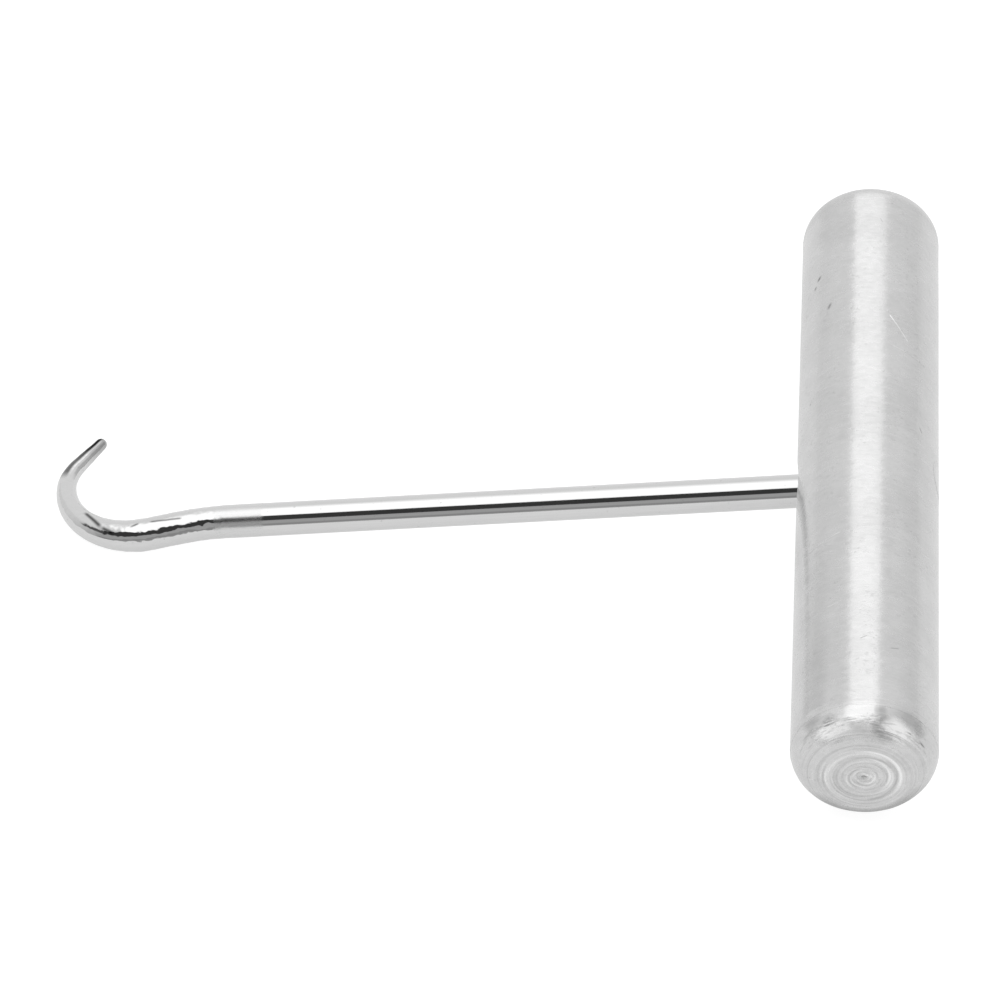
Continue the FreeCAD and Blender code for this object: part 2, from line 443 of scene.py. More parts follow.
def cap_outline():
    """Outline of the +Y cap, from the middle of its end, round its edge, and back inside."""
    flat_r = HANDLE_R - END_RADIUS
    seam_turn = math.asin(SEAM_HALF / END_RADIUS)
    face = [(r, HALF_LENGTH) for r in np.linspace(0, flat_r, round(flat_r / CAP_STEP))]
    edge_steps = round((math.pi / 2 - seam_turn) * END_RADIUS / CAP_STEP)
    turns = np.linspace(math.pi / 2, seam_turn, edge_steps + 1)[1:]
    edge = [(flat_r + END_RADIUS * math.cos(a), SEAM_Y + END_RADIUS * math.sin(a)) for a in turns]
    bore_r = HANDLE_R - TUBE_WALL
    spigot_y = SEAM_Y - SPIGOT_LENGTH
    hollow_y = HALF_LENGTH - CAP_END_THICKNESS
    inside = [
        (HANDLE_R - SEAM_HALF, SEAM_Y),
        (bore_r, SEAM_Y),
        (bore_r, spigot_y),
        (CAP_BORE_R, spigot_y),
        (CAP_BORE_R, hollow_y - CORNER_RADIUS),
        (CAP_BORE_R - CORNER_RADIUS, hollow_y),
        (0, hollow_y),
    ]
    return face + edge + inside


def turning_marks(seed):
    """Ring marks for a cap's end: (middle x, middle z, radius, half width, height, angle, sweep)."""
    draw = np.random.default_rng(seed)
    marks = []
    for radius, half_width, height in MAIN_RINGS:
        for _ in range(ARCS_PER_RING):
            marks.append((
                *draw.normal(0, CENTRE_STRAY, 2),
                radius + draw.normal(0, RING_STRAY),
                half_width,
                height,
                draw.uniform(-math.pi, math.pi),
                draw.uniform(*RING_SWEEP),
            ))
    for _ in range(MARK_COUNT):
        marks.append((
            *draw.normal(0, CENTRE_STRAY, 2),
            draw.uniform(*MARK_REACH),
            draw.uniform(*MARK_HALF_WIDTH),
            draw.choice([-1, 1]) * draw.uniform(*MARK_HEIGHT),
            draw.uniform(-math.pi, math.pi),
            draw.uniform(*MARK_SWEEP),
        ))
    return marks


def weld_pits(seed):
    """Dark dashes round the cap beside its seam: (reach, angle, sweep, half width, wear)."""
    draw = np.random.default_rng(seed)
    pits = []
    for _ in range(PIT_COUNT):
        middle = draw.choice(PIT_CLUSTERS) + draw.normal(0, PIT_STRAY)
        reach = draw.uniform(*PIT_REACH)
        sweep = draw.uniform(*PIT_SWEEP)
        pits.append((reach, middle, sweep, PIT_HALF_WIDTH, PIT_WEAR))
    return pits


def arc_share(angle, middle, sweep):
    """1 along an arc's middle and 0 past its ends."""
    turned = np.abs((angle - middle + math.pi) % (2 * math.pi) - math.pi)
    return np.clip(2 - 2 * turned / sweep, 0, 1)


def cap_relief(seed, strength):
    """Relief of one cap: centre mark, ring marks left by the wheel, and the ground shoulder."""
    marks = turning_marks(seed)
    spots = (*weld_pits(seed), *PAINTED_DARK_REFLECTIONS)
    shift = seed * SEED_SHIFT

    def relief(radius, y, angle):
        y = np.abs(y)
        outside = y >= SEAM_Y + SEAM_HALF / 2
        reach = radius + END_RADIUS * np.arcsin(np.clip((HALF_LENGTH - y) / END_RADIUS, 0, 1))
        across = reach * np.cos(angle) / MM
        up = reach * np.sin(angle) / MM
        height = -CENTRE_MARK_DEPTH * np.maximum(1 - radius / CENTRE_MARK_R, 0)
        wear_and_shade = CENTRE_DARKENING * np.clip(CENTRE_DARKENING_REACH - radius / CENTRE_MARK_R, 0, 1)
        for middle_x, middle_z, mark_r, half_width, rise, middle, sweep in marks:
            away = (np.hypot(across - middle_x, up - middle_z) - mark_r) / half_width
            share = strength * np.exp(-away ** 2) * arc_share(angle, middle, sweep)
            height = height + rise * MM * share
            wear_and_shade = wear_and_shade + RING_WEAR * rise * share
        # dark weld pits, and the dark reflections painted on the round
        for mark_r, middle, sweep, half_width, dulling_and_shade in spots:
            away = (reach / MM - mark_r) / half_width
            share = strength * np.exp(-away ** 2) * arc_share(angle, middle, sweep)
            height = height - PIT_DEPTH * share
            wear_and_shade = wear_and_shade + dulling_and_shade * share
        # painted shade on the underside of the cap's round
        ends, full = UNDERSIDE_PAINTED_SHADE_SPREAD
        underside = np.clip((-np.sin(angle) - ends) / (full - ends), 0, 1)
        outer_share = np.clip((reach - UNDERSIDE_PAINTED_SHADE_START) / (UNDERSIDE_PAINTED_SHADE_FULL - UNDERSIDE_PAINTED_SHADE_START), 0, 1)
        wear_and_shade = wear_and_shade + UNDERSIDE_PAINTED_SHADE * underside * outer_share
        wave = [
            [bumps(r * math.cos(a) + shift, h, r * math.sin(a), SHOULDER_WAVE_SIZE) - 1
             for a in angle[0]]
            for r, h in zip(radius[:, 0], y[:, 0])
        ]
        shoulder = np.clip((radius - SHOULDER_START) / SHOULDER_RUN, 0, 1)
        shoulder = shoulder * np.clip((y - SEAM_Y) / SHOULDER_FADE, 0, 1)
        height = height + strength * SHOULDER_WAVE * shoulder * np.array(wave)
        return height * outside, wear_and_shade * outside
    return relief


def build_cap(name, node, sign, material, seed, strength):
    """The cap at the +Y end for sign 1, or at the -Y end for -1, with marks as strong as strength."""
    outline = [(r, sign * y) for r, y in cap_outline()]
    return turned_solid(name, outline, cap_relief(seed, strength), material, "turned_cap", node)


SEAM_ROWS = 33
# Open lines along a seam, in millimetres and radians
SEAM_DASHES = 60
DASH_REACH = 0.6              # the farthest one from the seam's middle
DASH_SWEEP = (0.05, 0.30)
DASH_HALF_WIDTH = 0.09
DASH_DEPTH = 0.035


def seam_relief(seed, strength):
    """Relief of a ground seam: flush, with short open lines where the weld didn't quite fill."""
    draw = np.random.default_rng(seed)
    rows = draw.uniform(-DASH_REACH, DASH_REACH, SEAM_DASHES)
    middles = draw.uniform(-math.pi, math.pi, SEAM_DASHES)
    sweeps = draw.uniform(*DASH_SWEEP, SEAM_DASHES)

    def relief(radius, y, angle):
        along = (np.abs(y) - SEAM_Y) / MM
        share = 0.0
        for row, middle, sweep in zip(rows, middles, sweeps):
            dash = np.exp(-((along - row) / DASH_HALF_WIDTH) ** 2) * arc_share(angle, middle, sweep)
            share = np.maximum(share, dash)
        share = share * strength * (radius > HANDLE_R - SEAM_HALF / 2)
        return -DASH_DEPTH * MM * share, -share
    return relief


def build_seam(name, node, sign, material, seed, strength):
    """Ring of weld in the groove between the tube and a cap, ground to the handle's outline."""
    outline = [(HANDLE_R - SEAM_HALF, SEAM_Y)]
    for y in np.linspace(SEAM_Y - SEAM_HALF, SEAM_Y + SEAM_HALF, SEAM_ROWS):
        past = max(y - SEAM_Y, 0.0)
        outline.append((HANDLE_R - END_RADIUS + math.sqrt(END_RADIUS ** 2 - past ** 2), y))
    outline = [(r, sign * y) for r, y in outline]
    return turned_solid(name, outline, seam_relief(seed, strength), material, "ground_weld", node)


# Hook rod: a round section swept along lines and arcs, tapered and rounded at the tip
# ------------------------------------------------------------------------------------

ROUND_STEPS = 96
ROUND_TURNS = [2 * math.pi * step / ROUND_STEPS for step in range(ROUND_STEPS)]
SHANK_STEP = 1.5 * MM
BEND_STEP = 0.22 * MM
PEEL_SIZE = 1.5 * MM          # bending stretches the polished skin into small ripples
PEEL_DEPTH = 0.043 * MM
PEEL_FADING = 0.6             # how fast the finer ripples die away
PEEL_START = 2.0 * MM         # before the crank
PEEL_FULL = 3.0 * MM          # after the crank's start
PEEL_OCTAVES = 3
PEEL_BEND_SHARE = 0.55        # round the hook the ripples are this much as deep as on the crank
PEEL_BEND_EASE = 0.25         # share of the taper over which they get shallower
TIP_GRIND_SIZE = 3.5 * MM     # flats left by grinding the taper by hand
TIP_GRIND_DEPTH = 0.045 * MM
TIP_GRIND_RUN = (0.55, 0.80)  # shares of the taper at which the flats start and are full
TIP_WEAR = -0.60              # the ground tip is darker and duller than the polished shank
TIP_WEAR_START = 0.80         # share of the taper at which the grinding starts to show
EDGE_WEAR = -1.3              # scale left along the outer side of the tip
EDGE_WEAR_START = 0.66
EDGE_WEAR_FULL = 0.73
EDGE_SPREAD = (0.77, 0.93)    # cosines of the angles from its middle where it ends and is full
EDGE_TURN = math.radians(64)  # the scale's place round the tip, from its outer side to the top
TIP_ROWS = 10
TAIL_RINGS = (0.2, 0.4, 0.6, 0.8, 1.0)


def rod_segments():
    """(length, curvature) of each stretch of the path from the tail to the tip's centre."""
    return [
        (HANDLE_R + SHANK_LENGTH, 0.0),
        (CRANK_RADIUS * CRANK_ANGLE, 1 / CRANK_RADIUS),
        (CRANK_STRAIGHT, 0.0),
        (BEND_RADIUS * BEND_ANGLE, -1 / BEND_RADIUS),
        (TIP_BEND_RADIUS * TIP_BEND_ANGLE, -1 / TIP_BEND_RADIUS),
        (TIP_STRAIGHT, 0.0),
    ]


def rod_station(distance):
    """(x, y, heading) of the rod's centre line at a distance from the tail."""
    x, y, heading = HANDLE_R, 0.0, math.pi
    for length, curvature in rod_segments():
        run = min(distance, length)
        turn = run * curvature
        if curvature:
            x += (math.sin(heading + turn) - math.sin(heading)) / curvature
            y -= (math.cos(heading + turn) - math.cos(heading)) / curvature
        else:
            x += run * math.cos(heading)
            y += run * math.sin(heading)
        heading += turn
        distance -= run
        if distance <= 0:
            break
    return x, y, heading


def tip_share(distance):
    """How far along the taper a distance from the tail is: 0 at its start and 1 at the tip."""
    lengths = [length for length, _ in rod_segments()]
    taper_start = sum(lengths[:3]) + TAPER_LEAD
    return max(distance - taper_start, 0) / (sum(lengths) - taper_start)


def rod_ring(distance):
    """Points round the rod at a distance from its tail, with the ripples of bending and grinding."""
    lengths = [length for length, _ in rod_segments()]
    taper = tip_share(distance)
    radius = ROD_R + (TIP_R - ROD_R) * taper
    peel = smooth_step(distance, lengths[0] - PEEL_START, lengths[0] + PEEL_FULL)
    peel *= 1 - (1 - PEEL_BEND_SHARE) * smooth_step(taper, 0.0, PEEL_BEND_EASE)
    grind = smooth_step(taper, *TIP_GRIND_RUN)
    x, y, heading = rod_station(distance)
    side_x, side_y = -math.sin(heading), math.cos(heading)
    points = []
    for angle in ROUND_TURNS:
        across, up = math.cos(angle), math.sin(angle)
        place = (x + radius * across * side_x, y + radius * across * side_y, radius * up)
        ripple = PEEL_DEPTH * peel * (bumps(*place, PEEL_SIZE, PEEL_OCTAVES, PEEL_FADING) - 1)
        flat = TIP_GRIND_DEPTH * grind * (bumps(*place, TIP_GRIND_SIZE, 1) - 1)
        r = radius + ripple + flat
        points.append((x + r * across * side_x, y + r * across * side_y, r * up))
    return points


def rod_wear(distance):
    """Wear of the points round the rod at a distance from its tail."""
    share = tip_share(distance)
    ground = TIP_WEAR * smooth_step(share, TIP_WEAR_START, 1)
    scale = EDGE_WEAR * smooth_step(share, EDGE_WEAR_START, EDGE_WEAR_FULL)
    return [ground + scale * smooth_step(math.cos(a - EDGE_TURN), *EDGE_SPREAD) for a in ROUND_TURNS]


def tail_ring(share):
    """Points of the rod's tail face, flush with the handle's curve, at a share of its radius."""
    points = []
    for angle in ROUND_TURNS:
        y, z = -ROD_R * share * math.cos(angle), ROD_R * share * math.sin(angle)
        points.append((math.sqrt(HANDLE_R ** 2 - z ** 2), y, z))
    return points


def tip_ring(last_ring, centre, forward, lean):
    """Points of the tip's round end, leaned from the last ring towards the pole."""
    base = centre + forward * TIP_R * math.sin(lean)
    return [tuple(base + (Vector(point) - centre) * math.cos(lean)) for point in last_ring]


def build_rod(material):
    """The whole bar: its tail face, its shank, crank and bends, and its round tip."""
    lengths = [length for length, _ in rod_segments()]
    total = sum(lengths)
    fine_start = lengths[0] - 2 * PEEL_START
    coarse = np.arange(SHANK_STEP, fine_start, SHANK_STEP)
    fine = np.arange(fine_start, total, BEND_STEP)
    stops = [*coarse, *fine, total]
    rings = [tail_ring(share) for share in TAIL_RINGS]
    rings += [rod_ring(distance) for distance in stops]
    tip_x, tip_y, heading = rod_station(total)
    centre = Vector((tip_x, tip_y, 0))
    forward = Vector((math.cos(heading), math.sin(heading), 0))
    last_ring = rings[-1]
    rings += [tip_ring(last_ring, centre, forward, math.pi / 2 * i / TIP_ROWS) for i in range(1, TIP_ROWS)]
    wear_and_shade = [0.0] * ROUND_STEPS * len(TAIL_RINGS)
    for distance in [*stops, *[total] * (TIP_ROWS - 1)]:
        wear_and_shade += rod_wear(distance)
    wear_and_shade += [0.0, TIP_WEAR]
    points = [point for ring in rings for point in ring]
    points += [(HANDLE_R, 0, 0), tuple(centre + forward * TIP_R)]
    faces = closed_faces(len(rings), ROUND_STEPS)
    return make_piece("rod_and_hook", points, faces, material, "polished_rod", "hook_rod", wear_and_shade=wear_and_shade)


PLUG_RINGS = 8
PLUG_WAVE = 0.008 * MM
PLUG_WAVE_SIZE = 0.8 * MM


def build_plug_weld(material):
    """Ring of weld round the rod's tail, ground to the handle's curve."""
    loop = [(ROD_R, 0.0), (ROD_R, TUBE_WALL), (HOLE_R, TUBE_WALL), (HOLE_R, PLUG_DEPTH)]
    loop += [(r, 0.0) for r in np.linspace(PLUG_R, ROD_R, PLUG_RINGS)[:-1]]
    points = []
    for radius, depth in loop:
        for angle in ROUND_TURNS:
            y, z = radius * math.cos(angle), radius * math.sin(angle)
            sink = 0.0
            if depth == 0 and ROD_R < radius < PLUG_R:
                sink = PLUG_WAVE * (1 - bumps(y, z, 0, PLUG_WAVE_SIZE))
            points.append((math.sqrt(HANDLE_R ** 2 - z ** 2) - depth - sink, y, z))
    faces = grid_faces(len(loop), ROUND_STEPS, wrap_rows=True)
    return make_piece("tail_weld", points, faces, material, "ground_weld", "tail_plug_weld")


# Materials
# ---------

class Tree:
    """Short calls that build one node tree. A value is a number, a tuple or another node's output."""

    def __init__(self, node_tree):
        self.nodes = node_tree.nodes
        self.links = node_tree.links
        self.nodes.clear()

    def put(self, kind, inputs=None, **settings):
        node = self.nodes.new(kind)
        for name, value in settings.items():
            setattr(node, name, value)
        for name, value in (inputs or {}).items():
            if isinstance(value, bpy.types.NodeSocket):
                self.links.new(value, node.inputs[name])
            else:
                node.inputs[name].default_value = value
        return node

    def math(self, operation, *values):
        return self.put("ShaderNodeMath", dict(enumerate(values)), operation=operation).outputs[0]

    def add(self, first, *others):
        for other in others:
            first = self.math("ADD", first, other)
        return first

    def times(self, first, *others):
        for other in others:
            first = self.math("MULTIPLY", first, other)
        return first

    def blend(self, first, second, share):
        return self.add(first, self.times(self.math("SUBTRACT", second, first), share))

    def vector(self, operation, *values):
        node = self.put("ShaderNodeVectorMath", dict(enumerate(values)), operation=operation)
        return node.outputs["Value" if operation == "DOT_PRODUCT" else "Vector"]

    def split(self, vector):
        return self.put("ShaderNodeSeparateXYZ", {"Vector": vector}).outputs

    def join(self, x, y, z):
        return self.put("ShaderNodeCombineXYZ", {"X": x, "Y": y, "Z": z}).outputs["Vector"]

    def noise(self, vector, detail=2.0):
        inputs = {"Vector": vector, "Scale": 1.0, "Detail": detail}
        return self.put("ShaderNodeTexNoise", inputs).outputs["Fac"]

    def range(self, value, low, high, to_low=0.0, to_high=1.0):
        """Smooth run from to_low to to_high as value goes from low to high."""
        inputs = {"Value": value, "From Min": low, "From Max": high, "To Min": to_low, "To Max": to_high}
        node = self.put("ShaderNodeMapRange", inputs, interpolation_type="SMOOTHSTEP", clamp=True)
        return node.outputs["Result"]

    def around(self, value, spread, middle, swing):
        """Smooth run from swing below middle to swing above it as value goes through its spread."""
        return self.range(value, *spread, middle - swing, middle + swing)

    def grey(self, value):
        return self.put("ShaderNodeCombineColor", {"Red": value, "Green": value, "Blue": value}).outputs[0]

    def bump(self, height):
        """Normal of a surface whose height is in millimetres."""
        return self.put("ShaderNodeBump", {"Height": height, "Distance": MM}).outputs["Normal"]

    def tangent(self):
        """Direction round the handle's axis."""
        return self.put("ShaderNodeTangent", direction_type="RADIAL", axis="Y").outputs["Tangent"]

    def wear_and_shade(self):
        return self.put("ShaderNodeAttribute", attribute_name="wear_and_shade").outputs["Fac"]

    def light_path(self, kind):
        return self.put("ShaderNodeLightPath").outputs[kind]

    def surface(self, inputs):
        """The look of the material."""
        shader = self.put("ShaderNodeBsdfPrincipled", inputs)
        self.put("ShaderNodeOutputMaterial", {"Surface": shader.outputs["BSDF"]})

    def millimetres(self):
        position = self.put("ShaderNodeTexCoord").outputs["Object"]
        return self.vector("MULTIPLY", position, (1 / MM, 1 / MM, 1 / MM))


SATIN_REFLECTANCE = 0.61
SATIN_ROUGHNESS = 0.25
WELD_ROUGHNESS = 0.26
BRUSHING = 0.7                # how much more the brushed grain spreads light across than along it
QUARTER_TURN = 0.25           # spreads the light across the grain, which runs with the tangent
NOISE_SPREAD = (0.2, 0.8)     # the values that noise seldom leaves
NOISE_CORE = (0.3, 0.7)       # and those that most of it has
NEAR_AXIS = 0.01              # keeps a division on the axis from zero

# Layers of the satin finish: size round the handle and along it in millimetres, and detail
STREAKS = (3.2, 0.26, 3.0)
BLOTCHES = (1.5, 1.0, 3.0)
CLOUDS = (8.0, 7.0)
# Layers that show in spots: size round and along, and the noise where a spot starts and is full
PATCHES = (5.0, 5.0, 0.38, 0.62)
DARK_LINES = (2.4, 0.30, 0.62, 0.74)
LIGHT_LINES = (2.0, 0.22, 0.64, 0.76)
SCUFFED = (4.0, 9.0, 0.46, 0.60)
SCUFFS = (0.8, 0.5, 0.60, 0.68)
LINE_LEAN = 0.45              # how far the dark lines run along the handle for their way round it
# What the layers do to the surface's height, in millimetres, and to its reflectance
STREAK_HEIGHT = 0.0015
BLOTCH_HEIGHT = 0.040
DARK_LINE_HEIGHT = -0.008
SCUFF_HEIGHT = -0.012
CLOUD_TONE = 0.020
STREAK_TONE = 0.014
BLOTCH_TONE = 0.018
DARK_LINE_TONE = -0.045
LIGHT_LINE_TONE = 0.045
SCUFF_TONE = -0.05
WEAR_AND_SHADE_TONE = 0.12
BLOTCH_ROUGHNESS = 0.03

# The polished rod, in millimetres. Its layers: waves in each millimetre along it, aside and up
DRAW_LINES = (0.09, 2.6, 2.6)
RIPPLES = (0.30, 0.70, 0.70)
RIPPLE_DETAIL = 3.0
SPECKS = (1.5, 1.5, 1.5)
SPECKS_SHOW = (0.68, 0.80)
POLISHED_REFLECTANCE = (0.63, 0.66)
POLISHED_ROUGHNESS = (0.05, 0.10)
LINE_HEIGHT = 0.0006
RIPPLE_HEIGHT = 0.0030
SPECK_TONE = -0.12
ROD_WEAR_TONE = 0.38
ROD_WEAR_ROUGHNESS = -0.15
GRIPPED_MIDDLE = -112.4       # the stretch of the shank beside the crank that the bender held
GRIPPED_RUN = (5.0, 4.0)      # distances from its middle where it starts and is full
GRIPPED_ROUGHNESS = 0.19
TAIL_RUN = (11.0, 11.5)       # from here the tail is ground with the handle
TAIL_ROUGHNESS = 0.18
PAINTED_LINE_HEIGHTS = (0.0, 1.0)     # heights between which the painted dark reflection lines come in
ROD_PAINTED_GLOW = 0.55          # painted light: share of glow in the rod's reflected image in other pieces, which brightens and softens it
ROD_PAINTED_GLOW_LEVEL = 0.90


def new_material(name):
    """A material and its empty node tree."""
    material = bpy.data.materials.new(name)
    material.use_nodes = True
    return material, Tree(material.node_tree)


def turning_coordinates(tree):
    """Coordinates in millimetres that follow a lathe's marks: the ring vector, girth, y and run.

    The ring vector holds the place round the handle as a point on its circle, so it has no seam,
    and the run, which is the distance along the handle's outline.
    """
    x, y, z = tree.split(tree.millimetres())
    radius = tree.math("SQRT", tree.add(tree.times(x, x), tree.times(z, z)))
    run = tree.times(tree.math("SUBTRACT", tree.math("ABSOLUTE", y), radius), tree.math("SIGN", y))
    reach = tree.math("DIVIDE", HANDLE_R / MM, tree.math("MAXIMUM", radius, NEAR_AXIS))
    ring = tree.join(tree.times(x, reach), tree.times(z, reach), run)
    girth = tree.times(tree.math("ARCTAN2", x, z), HANDLE_R / MM)
    return ring, girth, y, run


# Dents and scratches that stand out, in millimetres: girth from the top, y, length, lean from the
# handle's length in degrees, half width, and shade (below 0 a dark dent, above 0 a scratch)
MARKS = (
    (-9.2, 44.7, 1.9, 38, 0.50, -0.70),
    (-10.2, 42.9, 1.5, 20, 0.48, -0.65),
    (-6.6, 35.7, 2.2, 24, 0.50, -0.50),
    (-11.0, 13.5, 0.8, 10, 0.20, -0.45),
    (0.8, -47.9, 1.6, 60, 0.15, -0.30),
    (3.1, 56.5, 1.3, -25, 0.14, -0.20),
    (5.1, 61.5, 0.8, 80, 0.14, -0.25),
    (9.8, 47.3, 0.5, 0, 0.16, -0.25),
    (6.6, 29.0, 6.8, -33, 0.18, 0.28),
    (12.8, 29.1, 2.9, -25, 0.20, 0.18),
    (9.5, 23.2, 8.5, -80, 0.16, 0.14),
    (11.5, 5.8, 1.6, -30, 0.24, -0.30),
    (12.7, -11.5, 3.4, -43, 0.18, 0.16),
    (13.4, -23.8, 2.2, 82, 0.18, 0.18),
    (-7.0, -23.3, 7.2, 75, 0.16, 0.16),
    (-4.8, -39.3, 2.3, 85, 0.16, 0.16),
    (6.2, -49.6, 2.0, 74, 0.20, -0.24),
    # painted shade: carries the near cap's first painted dark reflection onto the tube
    (-7.6, -62.0, 3.6, 90, 0.22, -0.34),
)
DENT_DEPTH = 0.03

# The same for the rod's upper side, in x and y: dark lines of the rod's reflection, painted into its
# colour
ROD_PAINTED_DARK_LINES = (
    (-139.0, -0.1, 6.0, -40, 0.60, -0.85),
    (-136.0, -3.0, 3.4, -58, 0.50, -0.80),
    (-125.4, -1.7, 6.2, 84, 0.36, -0.70),
    (-131.0, -2.6, 2.2, 68, 0.36, -0.70),
)


def dents(tree, girth, y, marks):
    """(height, shade) of single scratches and dents, each a short soft-edged line."""
    height = 0.0
    shading = 0.0
    for middle, place, length, lean, half_width, shade in marks:
        turn = math.radians(lean)
        across = tree.math("SUBTRACT", girth, middle)
        up = tree.math("SUBTRACT", y, place)
        along = tree.add(tree.times(across, math.sin(turn)), tree.times(up, math.cos(turn)))
        off = tree.add(tree.times(across, math.cos(turn)), tree.times(up, -math.sin(turn)))
        inside = tree.range(tree.math("ABSOLUTE", along), length / 2, length / 2 - 2 * half_width)
        line = tree.times(inside, tree.range(tree.math("ABSOLUTE", off), half_width, 0.0))
        height = tree.add(height, tree.times(line, math.copysign(DENT_DEPTH, shade)))
        shading = tree.add(shading, tree.times(line, shade))
    return height, shading


def grain(tree, ring, across, along, detail=2.0):
    """Noise whose features are about across long round the handle and along wide down it."""
    return tree.noise(tree.vector("MULTIPLY", ring, (1 / across, 1 / across, 1 / along)), detail)


def grain_spots(tree, ring, across, along, start, full):
    """Soft-edged spots where the noise of a grain is high."""
    return tree.range(grain(tree, ring, across, along), start, full)


def satin_steel(name, roughness, marks=()):
    """Brushed stainless steel whose grain runs round the handle and in rings over its ends."""
    material, tree = new_material(name)
    ring, girth, y, run = turning_coordinates(tree)
    x_part, z_part, _ = tree.split(ring)

    streaks = grain(tree, ring, *STREAKS)
    blotches = grain(tree, ring, *BLOTCHES)
    clouds = grain(tree, ring, *CLOUDS)
    patches = grain_spots(tree, ring, *PATCHES)
    leaning = tree.join(x_part, z_part, tree.add(run, tree.times(girth, LINE_LEAN)))
    dark_lines = tree.times(grain_spots(tree, leaning, *DARK_LINES), patches)
    light_lines = tree.times(grain_spots(tree, ring, *LIGHT_LINES), patches)
    scuffs = tree.times(grain_spots(tree, ring, *SCUFFS), grain_spots(tree, ring, *SCUFFED))
    dent_height, dent_shade = dents(tree, girth, y, marks)

    height = tree.add(
        tree.times(streaks, STREAK_HEIGHT),
        tree.times(blotches, BLOTCH_HEIGHT),
        tree.times(dark_lines, DARK_LINE_HEIGHT),
        tree.times(scuffs, SCUFF_HEIGHT),
        dent_height,
    )
    tone = tree.add(
        tree.around(clouds, NOISE_CORE, SATIN_REFLECTANCE, CLOUD_TONE),
        tree.around(streaks, NOISE_SPREAD, 0.0, STREAK_TONE),
        tree.around(blotches, NOISE_CORE, 0.0, BLOTCH_TONE),
        tree.times(dark_lines, DARK_LINE_TONE),
        tree.times(light_lines, LIGHT_LINE_TONE),
        tree.times(scuffs, SCUFF_TONE),
        # real wear, and the painted shade on the handle and the caps
        tree.times(tree.wear_and_shade(), WEAR_AND_SHADE_TONE),
    )
    tone = tree.times(tone, tree.add(1.0, dent_shade))
    tree.surface({
        "Base Color": tree.grey(tone),
        "Metallic": 1.0,
        "Roughness": tree.around(blotches, NOISE_CORE, roughness, BLOTCH_ROUGHNESS),
        "Anisotropic": BRUSHING,
        "Anisotropic Rotation": QUARTER_TURN,
        "Normal": tree.bump(height),
        "Tangent": tree.tangent(),
    })
    return material


def polished_steel(name):
    """Mirror-polished steel: dull where it was gripped for bending, at its tail and at its tip."""
    material, tree = new_material(name)
    place = tree.millimetres()
    along, aside, up = tree.split(place)
    lines = tree.noise(tree.vector("MULTIPLY", place, DRAW_LINES))
    ripples = tree.noise(tree.vector("MULTIPLY", place, RIPPLES), RIPPLE_DETAIL)
    specks = tree.range(tree.noise(tree.vector("MULTIPLY", place, SPECKS)), *SPECKS_SHOW)
    from_grip = tree.math("ABSOLUTE", tree.math("SUBTRACT", along, GRIPPED_MIDDLE))
    gripped = tree.range(from_grip, *GRIPPED_RUN)
    tail = tree.range(along, *TAIL_RUN)
    # painted reflection: dark lines on the rod's upper side
    _, painted_dark_lines = dents(tree, along, aside, ROD_PAINTED_DARK_LINES)
    wear_and_shade = tree.wear_and_shade()

    height = tree.add(tree.times(lines, LINE_HEIGHT), tree.times(ripples, RIPPLE_HEIGHT))
    tone = tree.add(
        tree.range(lines, *NOISE_SPREAD, *POLISHED_REFLECTANCE),
        tree.times(specks, SPECK_TONE),
        tree.times(wear_and_shade, ROD_WEAR_TONE),
    )
    tone = tree.times(tone, tree.add(1.0, tree.times(painted_dark_lines, tree.range(up, *PAINTED_LINE_HEIGHTS))))
    rough = tree.add(
        tree.range(lines, *NOISE_SPREAD, *POLISHED_ROUGHNESS),
        tree.times(gripped, GRIPPED_ROUGHNESS),
        tree.times(tail, TAIL_ROUGHNESS),
        tree.times(wear_and_shade, ROD_WEAR_ROUGHNESS),
    )
    # painted light: the rod glows where other pieces reflect it, though it is no lamp
    painted_glow = tree.times(tree.light_path("Is Glossy Ray"), ROD_PAINTED_GLOW)
    tree.surface({
        "Base Color": tree.grey(tree.blend(tone, 0.0, painted_glow)),
        "Metallic": 1.0,
        "Roughness": rough,
        "Anisotropic": tree.times(tail, BRUSHING),
        "Anisotropic Rotation": QUARTER_TURN,
        "Normal": tree.bump(height),
        "Tangent": tree.tangent(),
        "Emission Color": (1, 1, 1, 1),
        "Emission Strength": tree.times(painted_glow, ROD_PAINTED_GLOW_LEVEL),
    })
    return material


TABLE_TONE = 0.35
TABLE_GLOW = 0.67             # glow that the tool sees, and that the camera sees
TABLE_GLOW_SEEN = 0.86


def floor_material():
    """White table, lit from behind so that the camera sees it nearly pure white."""
    material, tree = new_material("white_table")
    seen = tree.light_path("Is Camera Ray")
    tree.surface({
        "Base Color": (TABLE_TONE, TABLE_TONE, TABLE_TONE, 1),
        "Roughness": 1.0,
        "Specular IOR Level": 0.0,
        "Emission Color": (1, 1, 1, 1),
        "Emission Strength": tree.range(seen, 0.0, 1.0, TABLE_GLOW, TABLE_GLOW_SEEN),
    })
    return material


# Studio
# ------

# The tool rests on the handle and the underside of the hook, so the table leans to touch both.
TABLE_LEAN = math.radians(4.1)
TABLE_HALF = 6.0

CAMERA_AZIMUTH = 10.86
CAMERA_ELEVATION = 44.34
CAMERA_ROLL = math.radians(10.70)
CAMERA_DISTANCE = 0.9433
CAMERA_LENS = 190.86
CAMERA_SENSOR = 36.0
CAMERA_CLIP = 0.01
AIM_OFFSET = Vector((1.96, 1.06, 0.71)) * MM

# The room behind the panels is brighter at the back and dimmer at the sides: the part of a
# direction where a run of brightness starts and where it ends, and the brightness at each
ROOM_BACK = (-0.75, 0.35, 0.55, 0.96)
ROOM_RIGHT = (0.60, 0.95, 1.0, 0.72)
ROOM_LEFT = (-0.60, -0.75, 1.0, 0.90)
